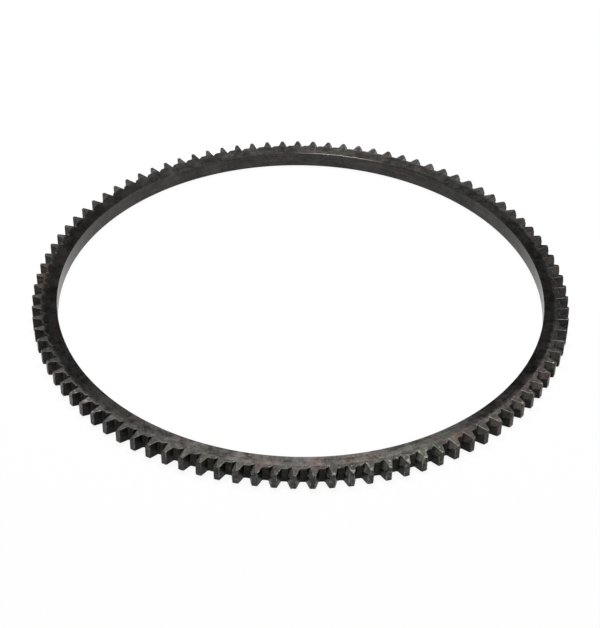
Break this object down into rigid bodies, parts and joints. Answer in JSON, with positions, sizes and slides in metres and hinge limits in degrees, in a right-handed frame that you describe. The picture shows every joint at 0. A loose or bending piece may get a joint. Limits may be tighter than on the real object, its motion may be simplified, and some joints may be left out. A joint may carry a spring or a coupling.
{
  "type": "flywheel ring gear",
  "caption": "One-piece steel starter ring gear: a thin hoop with short involute teeth, a lead-in bevel on one end of each tooth and a plain bore for a shrink fit on a flywheel.",
  "frame": {"origin": "on the gear's axis, in the plane of the plain end face that the gear lies on", "axes": "+Z along the bore axis, from the plain end face to the bevelled end of the teeth; +X through the middle of a tooth"},
  "size_m": [0.313, 0.313, 0.0095],
  "materials": {
    "oxidised_steel": "turned and hobbed carbon steel with a dark grey-brown heat oxide, satin, lighter on worn end faces and bevels"
  },
  "bodies": {
    "root": {"ring_gear": "oxidised_steel"}
  },
  "joints": []
}
